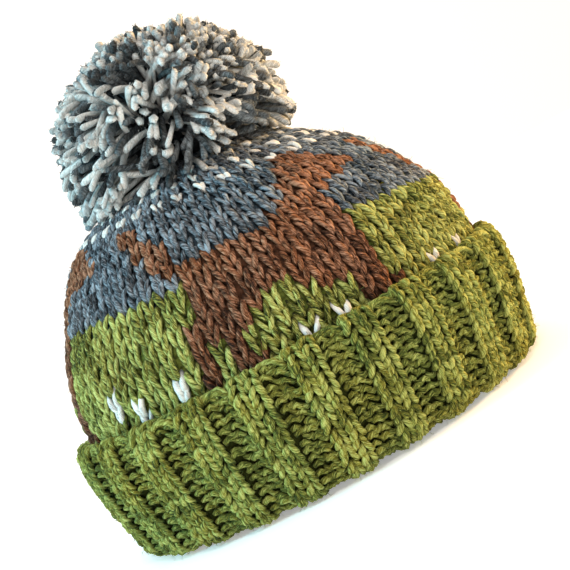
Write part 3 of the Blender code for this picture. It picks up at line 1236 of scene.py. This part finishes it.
        # Each kind's shape and places in a rib, and how far it is moved up and out
        kinds = (
            (self.edge_loop, self.knit_centres, 0.0, 0.0),
            (self.edge_arch, (0.48,), 0.0, 0.0),
            (self.edge_arch, (0.44,), -2.4, -0.5),
        )
        shapes, columns = [], []
        for rows, centres, up, out in kinds:
            places = self.columns(centres)
            shape = shape_of(rows, maker.steps) + np.array((0.0, up, out, 0.0))
            shapes.append(np.repeat(shape[None], len(places), axis=0))
            columns.append(places)
        shape, column = np.concatenate(shapes), np.concatenate(columns)[:, None]
        spread = self.chance.normal(0.0, 1.0, (4, len(column), 1))
        share = column + (shape[..., 0] + 0.08 * spread[0]) * 0.25 / self.ribs
        along = (self.rows * self.row_mm + shape[..., 1] + 0.5 * spread[1]) * MM
        lift = (shape[..., 2] + 0.25 * spread[2]) * MM
        points, outward = self.skin.place(share, along, lift)
        size = self.edge_radius_mm * MM * shape[..., 3] * (1.0 + 0.08 * spread[3])
        tone = self.chance.random(len(column))
        shade = np.clip((lift / MM + 2.8) / 2.6, 0.0, 1.0)
        laid = Strands(points, outward, size, size, tone, shade)
        add_piece(maker.make("cuff_cast_on_edge", laid), material, "cuff")

    def make_ground(self, material: Material) -> None:
        """Model the band's body behind the stitches, sunk in the purl columns."""
        across, sunk = np.tile(np.array(self.ground_spots), (self.ribs, 1)).T
        rib = np.repeat(np.arange(self.ribs), len(self.ground_spots))
        share = (rib + self.rib_phase + across) / self.ribs
        knots = self.skin.table.knots
        rings = []
        for along in np.linspace(knots[0] + MM, knots[-1] - MM, self.ground_rings):
            depth = self.ground_mm + sunk * float(self.recess(np.asarray(along)))
            rings.append(self.skin.place(share, np.full_like(share, along), -depth * MM)[0])
        angle = self.skin.angle(share)
        for height, half_width in self.back:
            half_depth = half_width - self.oval_difference_mm
            rings.append(level_ring(angle, half_width * MM, half_depth * MM, height * MM))
        bm = bmesh.new()
        low, back = loft(bm, rings)
        seam = {e for ring in (low, back) for v in ring for e in v.link_edges if e.is_boundary}
        bmesh.ops.bridge_loops(bm, edges=sorted(seam, key=lambda e: e.index))
        bmesh.ops.recalc_face_normals(bm, faces=bm.faces)
        mesh = smooth_mesh(bm, "cuff_ground", [material])
        paint_faces(mesh, [linear(FINISHES[Yarn.CUFF].middle)] * len(mesh.polygons))
        add_piece(mesh, material, "cuff")


@dataclass
class Pompom:
    """Cut strands of two yarns, tied in the middle and trimmed to a low ball, in tufts."""

    centre_mm: tuple[float, float, float] = (1.5, 0.0, 161.0)
    half_width_mm: float = 56.0
    half_height_mm: float = 50.0
    fullness_above: float = 2.05
    fullness_below: float = 3.6
    strands: int = 2000
    hairs_per_strand: float = 2.2
    bristles: int = 3
    tufts: int = 150
    dark_share: float = 0.30
    # How likely a strand is to be pale in a dark tuft and in another, and else to be grey
    pale_chances: tuple[float, float] = (0.26, 0.84)
    grey_chance: float = 0.16
    radius_mm: float = 1.46
    # How unevenly the strands are cut, and how far a stray one stands out, as shares of the reach
    trim_spread: float = 0.075
    stray_out: float = 0.06
    curly_bow: float = 2.3
    # Where the strands part, as seen from the middle, and how far they are combed away from there
    parting: tuple[float, float, float] = (-0.30, -1.0, 0.10)
    combed: float = 0.38
    lowest_rise: float = math.radians(-40.0)
    floor_rise: float = math.radians(-20.0)
    root_mm: float = 8.0
    bow_mm: float = 4.5
    own_bow_mm: float = 3.6
    stray_share: float = 0.02
    curly_share: float = 0.08
    droop_mm: float = 7.5
    core_mm: float = 30.0
    core_up_mm: float = 6.0
    chance: np.random.Generator = field(default_factory=lambda: np.random.default_rng(SEED + 2))

    def reach(self, rise: Array) -> Array:
        """How far the trimmed ball reaches from its middle at this angle above the level."""
        level = np.abs(np.cos(rise)) / (self.half_width_mm * MM)
        upright = np.abs(np.sin(rise)) / (self.half_height_mm * MM)
        fullness = np.where(rise > 0.0, self.fullness_above, self.fullness_below)
        return (level**fullness + upright**fullness) ** (-1.0 / fullness)

    def spread(self, count: int, jitter: float) -> Array:
        """Directions spread evenly over the ball, from the crown of the hat up.

        Args:
            count: how many.
            jitter: how far each one strays, as a share of one.

        Returns:
            Their unit vectors.
        """
        index = np.arange(count) + 0.5
        low, top = math.sin(self.lowest_rise), math.pi / 2
        rise = np.arcsin(low + (1.0 - low) * index / count)
        span = (top - self.floor_rise) / (top - self.lowest_rise)
        rise = np.minimum(self.floor_rise + (rise - self.lowest_rise) * span, top)
        turn = index * math.pi * (3.0 - math.sqrt(5.0))
        level = np.cos(rise)
        way = np.stack((level * np.sin(turn), -level * np.cos(turn), np.sin(rise)), -1)
        return unit(way + self.chance.normal(0.0, jitter, way.shape))

    def dark_tufts(self, tufts: Array) -> Array:
        """Pick the mostly dark tufts, each as far as it can be from those already picked."""
        picked = [0]
        while len(picked) < self.dark_share * self.tufts:
            picked.append(int(np.argmin((tufts @ tufts[picked].T).max(axis=1))))
        return np.isin(np.arange(self.tufts), picked)

    def comb(self, way: Array) -> Array:
        """Push the strands' directions away from the parting."""
        parting = unit(np.array(self.parting))
        near = way @ parting
        away = np.arccos(np.clip(near, -1.0, 1.0))
        push = self.combed * np.minimum(away / 0.5, 1.0) * np.exp(-((away / 0.85) ** 2))
        return unit(way + unit(way - near[:, None] * parting) * push[:, None])

    def make_strands(
        self, maker: StrandMaker, fuzz: Fuzz, materials: dict[Yarn, Material], crown: Crown
    ) -> None:
        """Lay every strand from the tie to its cut end, one piece for each yarn.

        Args:
            maker: the strand that is bent to shape.
            fuzz: what grows the loose fibres and frays the cut ends.
            materials: the finish of each yarn.
            crown: what the lowest strands lie on.
        """
        chance, count = self.chance, self.strands
        own = self.spread(count, 0.05)
        tufts = self.spread(self.tufts, 0.10)
        tuft = np.argmax(own @ tufts.T + chance.normal(0.0, 0.012, (count, self.tufts)), axis=1)
        root_way = unit(own + chance.normal(0.0, 0.22, own.shape))
        tip_way = unit(own * 0.62 + tufts[tuft] * 0.38 + chance.normal(0.0, 0.05, own.shape))
        tip_way = self.comb(tip_way)
        rise = np.arcsin(np.clip(tip_way[:, 2], -1.0, 1.0))
        trim = 1.0 - np.abs(chance.normal(0.0, self.trim_spread, count))
        trim += chance.normal(0.0, 0.012, count)
        stray = chance.random(count) < self.stray_share
        reach = (self.reach(rise) * np.where(stray, trim + self.stray_out, trim))[:, None]
        # Tufts lean their own way, and each strand bows a little more by itself
        bow = unit(chance.normal(0.0, 1.0, tufts.shape))[tuft] * self.bow_mm * MM
        bow = bow + chance.normal(0.0, 1.0, own.shape) * self.own_bow_mm * MM
        curly = (chance.random(count) < self.curly_share)[:, None]
        bow = np.where(curly, bow * self.curly_bow, bow) * np.where(stray, 0.3, 1.0)[:, None]
        bow -= own * (bow * own).sum(-1, keepdims=True)
        low = np.clip(1.0 - rise / math.radians(50.0), 0.0, 1.0)
        droop = low * self.droop_mm * MM * chance.uniform(0.5, 1.6, count)
        droop = np.array([0.0, 0.0, 1.0]) * droop[:, None]
        bow *= (1.0 + 0.5 * low)[:, None]
        centre = np.array(self.centre_mm) * MM
        root = centre + root_way * self.root_mm * MM
        knee = centre + root_way * (reach * 0.42) + bow * 0.5 + droop * 0.7
        shoulder = centre + tip_way * (reach * 0.80) + bow + droop
        tip = centre + tip_way * reach
        # The rings crowd at the cut end, which is a soft round puff
        reached = 1.0 - (1.0 - maker.steps) ** 1.7
        t = reached[None, :, None]
        paths = (
            (1 - t) ** 3 * root[:, None]
            + 3 * (1 - t) ** 2 * t * knee[:, None]
            + 3 * (1 - t) * t**2 * shoulder[:, None]
            + t**3 * tip[:, None]
        )
        clear = (2.2 + 4.0 * chance.random((count, 1))) * MM
        paths[..., 2] = np.maximum(paths[..., 2], crown.top_at(paths) + clear)
        outward = np.broadcast_to(unit(np.cross(own, bow))[:, None], paths.shape)
        puff = 0.32 * np.clip(reached * 4.0 - 3.0, 0.0, 1.0)
        grow = 0.55 + 0.40 * np.clip(reached * 2.0, 0.0, 1.0) + puff
        grow[-1] = 0.60
        radius = self.radius_mm * MM * grow[None, :] * (1.0 + chance.normal(0.0, 0.12, (count, 1)))
        squash = 1.0 - 0.22 * chance.random((count, 1))
        shade = np.clip((reached[None, :] * trim[:, None] - 0.40) / 0.45, 0.0, 1.0)
        # Each tuft was wound mostly from one yarn
        pale = chance.random(count) < np.where(self.dark_tufts(tufts), *self.pale_chances)[tuft]
        grey = chance.random(count) < self.grey_chance
        tone = chance.random(count)
        laid = Strands(paths, outward, radius, radius * squash, tone, 0.38 + 0.62 * shade)
        groups = {
            Yarn.POM_PALE: pale,
            Yarn.POM_DARK: ~pale & ~grey,
            Yarn.POM_GREY: ~pale & grey,
        }
        for yarn, mine in groups.items():
            group, material = laid.only(mine), materials[yarn]
            hairs = int(self.hairs_per_strand * mine.sum())
            add_piece(maker.make(f"{yarn.value}_strands", group), material, "pompom")
            add_piece(fuzz.grow(f"{yarn.value}_fuzz", group, hairs), material, "pompom")
            mesh = fuzz.fray(f"{yarn.value}_cut_ends", group, self.bristles)
            add_piece(mesh, material, "pompom")

    def make_core(self, material: Material) -> None:
        """Model the dark heart where the strands crowd at the tie: a sphere of painted shade."""
        bm = bmesh.new()
        bmesh.ops.create_icosphere(bm, subdivisions=4, radius=self.core_mm * MM)
        bmesh.ops.scale(bm, vec=Vector((1.0, 1.0, 0.8)), verts=bm.verts)
        middle = Vector(self.centre_mm) * MM + Vector((0.0, 0.0, self.core_up_mm * MM))
        bmesh.ops.translate(bm, vec=middle, verts=bm.verts)
        mesh = smooth_mesh(bm, "pompom_core", [material])
        # Painted shade: the charcoal yarn's colour, darkened further by its finish
        paint_faces(mesh, [linear(FINISHES[Yarn.POM_DARK].middle)] * len(mesh.polygons))
        add_piece(mesh, material, "pompom")


@dataclass
class Studio:
    """The floor, the light and the camera."""

    camera_back_mm: float = 462.0
    camera_height_mm: float = 90.6
    camera_pitch_degrees: float = 1.72
    camera_yaw_degrees: float = 1.5
    camera_roll_degrees: float = 29.2
    lens_mm: float = 63.16
    floor_radius: float = 6.0
    floor_glow: float = 0.35
    left_sky: Colour = (0.92, 1.08, 1.20, 1.0)
    right_sky: Colour = (1.40, 1.08, 0.78, 1.0)
    front_level: float = 0.40
    back_level: float = 1.10
    # Each lamp's name, place, watts, size and colour
    lamps: tuple[tuple, ...] = (
        ("left", (-1.30, -0.35, 0.72), 13.0, 0.45, (0.16, 0.80, 1.0)),
        ("right", (1.33, 0.30, 0.42), 22.5, 0.45, (1.0, 0.52, 0.05)),
        ("front", (0.05, -1.05, 1.15), 7.0, 0.5, (1.0, 0.98, 0.95)),
    )
    lit_point: tuple[float, float, float] = (0.0, 0.0, 0.1)

    def make_floor(self) -> None:
        """A plain pale floor."""
        material = bpy.data.materials.new("pale_floor")
        n = Nodes(material)
        shader = n.add(
            "ShaderNodeBsdfPrincipled",
            {
                "Base Color": (0.93, 0.93, 0.93, 1.0),
                "Roughness": 0.9,
                "Emission Color": (1.0, 1.0, 1.0, 1.0),
                "Emission Strength": self.floor_glow,
            },
        )
        n.end("ShaderNodeOutputMaterial", shader)
        bm = bmesh.new()
        bmesh.ops.create_circle(bm, cap_ends=True, segments=96, radius=self.floor_radius)
        link_object("floor", smooth_mesh(bm, "floor", [material]))

    def make_light(self) -> None:
        """White surroundings, a cool soft light from the left and a warm one from the right."""
        world = bpy.data.worlds.new("studio")
        n = Nodes(world)
        across, back, _ = n.split(n.add("ShaderNodeTexCoord", output="Generated"))
        hue = n.mix(n.remap(across, -0.75, 0.75), self.left_sky, self.right_sky)
        level = n.remap(back, -0.7, 0.5, self.front_level, self.back_level)
        n.end("ShaderNodeOutputWorld", n.add("ShaderNodeBackground", {0: hue, 1: level}))
        bpy.context.scene.world = world
        for name, spot, power, size, colour in self.lamps:
            data = bpy.data.lights.new(name, "AREA")
            data.energy = power
            data.size = size
            data.color = colour
            lamp = link_object(name, data)
            lamp.location = Vector(spot)
            aim = Vector(self.lit_point) - lamp.location
            lamp.rotation_euler = aim.to_track_quat("-Z", "Y").to_euler()

    def make_camera(self) -> None:
        """The photograph's view: level with the crown, and rolled so that the hat leans."""
        data = bpy.data.cameras.new("camera")
        data.lens = self.lens_mm
        data.clip_start = 0.01
        data.clip_end = 50.0
        camera = link_object("camera", data)
        pitch = math.radians(self.camera_pitch_degrees)
        yaw = math.radians(self.camera_yaw_degrees)
        roll = math.radians(self.camera_roll_degrees)
        level = math.cos(pitch)
        forward = Vector((math.sin(yaw) * level, math.cos(yaw) * level, -math.sin(pitch)))
        right = forward.cross(Vector((0.0, 0.0, 1.0))).normalized()
        upward = right.cross(forward)
        across = right * math.cos(roll) - upward * math.sin(roll)
        rising = upward * math.cos(roll) + right * math.sin(roll)
        spot = Vector((0.0, -self.camera_back_mm * MM, self.camera_height_mm * MM))
        turn = Matrix((across, rising, -forward)).transposed().to_4x4()
        camera.matrix_world = Matrix.Translation(spot) @ turn
        bpy.context.scene.camera = camera


def main() -> None:
    """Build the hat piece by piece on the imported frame."""
    logging.basicConfig(level=logging.INFO, format="%(name)s %(message)s")
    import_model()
    studio = Studio()
    studio.make_camera()
    studio.make_floor()
    studio.make_light()
    bpy.context.scene.view_settings.view_transform = "Standard"
    materials = {yarn: finish.make() for yarn, finish in FINISHES.items()}
    ground = GroundFinish("wool_in_shadow", 0.20).make()
    wrong_side = GroundFinish("wool_wrong_side", 0.95, wrong_side=True).make()
    stitch = StrandMaker(sides=6, segments=6)
    bump = StrandMaker(sides=6, segments=5)
    low_bump = StrandMaker(sides=6, segments=4)
    lock = StrandMaker(sides=5, segments=8)
    fuzz = Fuzz()
    crown = Crown()
    crown.make_ground(ground, wrong_side)
    crown.make_stitches(stitch, fuzz, materials)
    cuff = Cuff()
    cuff.make_ground(ground)
    cuff.make_stitches(bump, fuzz, materials[Yarn.CUFF])
    cuff.make_purl(low_bump, materials[Yarn.CUFF])
    cuff.make_edge(stitch, materials[Yarn.CUFF])
    pompom = Pompom()
    pompom.make_core(ground)
    pompom.make_strands(lock, fuzz, materials, crown)


if __name__ == "__main__":
    main()
